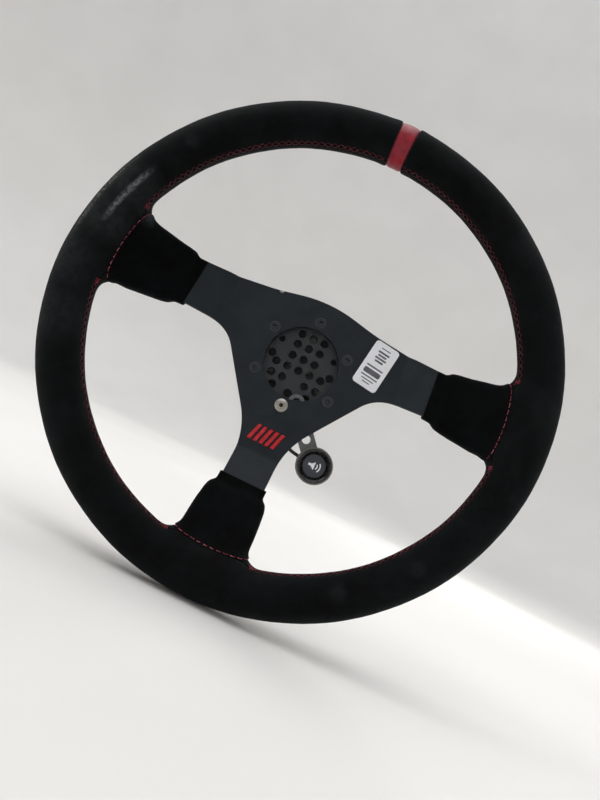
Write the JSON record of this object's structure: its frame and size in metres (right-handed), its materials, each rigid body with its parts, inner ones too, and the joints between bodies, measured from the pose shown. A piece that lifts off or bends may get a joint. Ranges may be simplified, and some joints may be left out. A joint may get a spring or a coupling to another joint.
{
  "type": "steering wheel",
  "caption": "Dished three-spoke competition steering wheel with suede rim, drilled hub spacer, horn button on a strap and the ball-lock wheel half of a quick release.",
  "frame": {"origin": "centre of the mouth of the quick release's column socket", "axes": "+Y along the steering column away from the driver, the way the column boss leaves; +Z towards the twelve o'clock mark; +X to the driver's right"},
  "size_m": [0.35, 0.121, 0.3499],
  "materials": {
    "black_suede": "napped",
    "red_leather": "satin",
    "rim_foam_grey": "matte",
    "anodised_plate": "satin anodised",
    "core_aluminium": "mill",
    "black_screw_steel": "black oxide",
    "plated_steel": "zinc plated",
    "vent_plate_grey": "satin anodised",
    "hub_aluminium": "satin anodised",
    "collar_aluminium": "satin anodised",
    "spring_steel": "bright",
    "ball_steel": "polished",
    "drive_steel": "machined",
    "black_nylon": "matte",
    "brass": "bright",
    "strap_steel": "zinc plated",
    "button_metal": "satin",
    "button_black": "gloss",
    "button_legend": "satin",
    "black_rubber": "matte",
    "red_enamel": "gloss",
    "label_white": "satin"
  },
  "bodies": {
    "wheel": {"spoke_plate": "anodised_plate", "rim_core": "core_aluminium", "rim_rivets": "core_aluminium", "rim_foam": "rim_foam_grey", "rim_cover": "black_suede", "top_mark_band": "red_leather", "plate_screws": "black_screw_steel", "strap_screw": "plated_steel", "vent_plate": "vent_plate_grey", "hub_barrel": "hub_aluminium", "hub_flange": "hub_aluminium", "collar_spring": "spring_steel", "stop_ring": "hub_aluminium", "drive_ring": "drive_steel", "drive_pins": "ball_steel", "drive_ring_clip": "spring_steel", "contact_block": "black_nylon", "contact_block_screws": "plated_steel", "contact_terminals": "brass", "button_strap": "strap_steel", "button_housing": "button_metal", "button_bezel": "button_black", "button_spring": "spring_steel", "switch_body": "black_nylon", "switch_terminals": "brass", "button_washer": "plated_steel", "button_nut": "plated_steel", "rear_boot": "black_rubber", "button_cable": "black_rubber", "cable_grommet": "black_rubber", "spoke_badge": "red_enamel", "data_label": "label_white", "spoke_boot_right": "black_suede", "spoke_boot_left": "black_suede", "spoke_boot_bottom": "black_suede", "contact_spring_1": "spring_steel", "contact_spring_2": "spring_steel"},
    "collar": {"release_collar": "collar_aluminium"},
    "button": {"button_cap": "button_black", "button_disc": "button_legend"},
    "ball_1": {"lock_ball_1": "ball_steel"},
    "ball_2": {"lock_ball_2": "ball_steel"},
    "ball_3": {"lock_ball_3": "ball_steel"},
    "ball_4": {"lock_ball_4": "ball_steel"},
    "ball_5": {"lock_ball_5": "ball_steel"},
    "ball_6": {"lock_ball_6": "ball_steel"},
    "contact_1": {"contact_pin_1": "brass"},
    "contact_2": {"contact_pin_2": "brass"}
  },
  "joints": [
    {"name": "collar_slide", "type": "slide", "parent": "wheel", "child": "collar", "axis": [0, -1, 0], "range_m": [0, 0.007], "stiffness_N_per_m": 2500, "springref_m": -0.004, "deforming": ["collar_spring"]},
    {"name": "ball_1_slide", "type": "slide", "parent": "wheel", "child": "ball_1", "axis": [0.5, 0, 0.866], "range_m": [0, 0.0014]},
    {"name": "ball_2_slide", "type": "slide", "parent": "wheel", "child": "ball_2", "axis": [1, 0, 0], "range_m": [0, 0.0014]},
    {"name": "ball_3_slide", "type": "slide", "parent": "wheel", "child": "ball_3", "axis": [0.5, 0, -0.866], "range_m": [0, 0.0014]},
    {"name": "ball_4_slide", "type": "slide", "parent": "wheel", "child": "ball_4", "axis": [-0.5, 0, -0.866], "range_m": [0, 0.0014]},
    {"name": "ball_5_slide", "type": "slide", "parent": "wheel", "child": "ball_5", "axis": [-1, 0, 0], "range_m": [0, 0.0014]},
    {"name": "ball_6_slide", "type": "slide", "parent": "wheel", "child": "ball_6", "axis": [-0.5, 0, 0.866], "range_m": [0, 0.0014]},
    {"name": "button_press", "type": "slide", "parent": "wheel", "child": "button", "axis": [0, 1, 0], "range_m": [0, 0.0015], "stiffness_N_per_m": 900, "springref_m": -0.001, "deforming": ["button_spring"]},
    {"name": "contact_1_press", "type": "slide", "parent": "wheel", "child": "contact_1", "axis": [0, -1, 0], "range_m": [0, 0.0015], "stiffness_N_per_m": 300, "springref_m": -0.001, "deforming": ["contact_spring_1"]},
    {"name": "contact_2_press", "type": "slide", "parent": "wheel", "child": "contact_2", "axis": [0, -1, 0], "range_m": [0, 0.0015], "stiffness_N_per_m": 300, "springref_m": -0.001, "deforming": ["contact_spring_2"]}
  ],
  "couplings": [
    {"joint": "ball_1_slide", "follows": "collar_slide", "ratio": 0.2},
    {"joint": "ball_2_slide", "follows": "collar_slide", "ratio": 0.2},
    {"joint": "ball_3_slide", "follows": "collar_slide", "ratio": 0.2},
    {"joint": "ball_4_slide", "follows": "collar_slide", "ratio": 0.2},
    {"joint": "ball_5_slide", "follows": "collar_slide", "ratio": 0.2},
    {"joint": "ball_6_slide", "follows": "collar_slide", "ratio": 0.2}
  ]
}
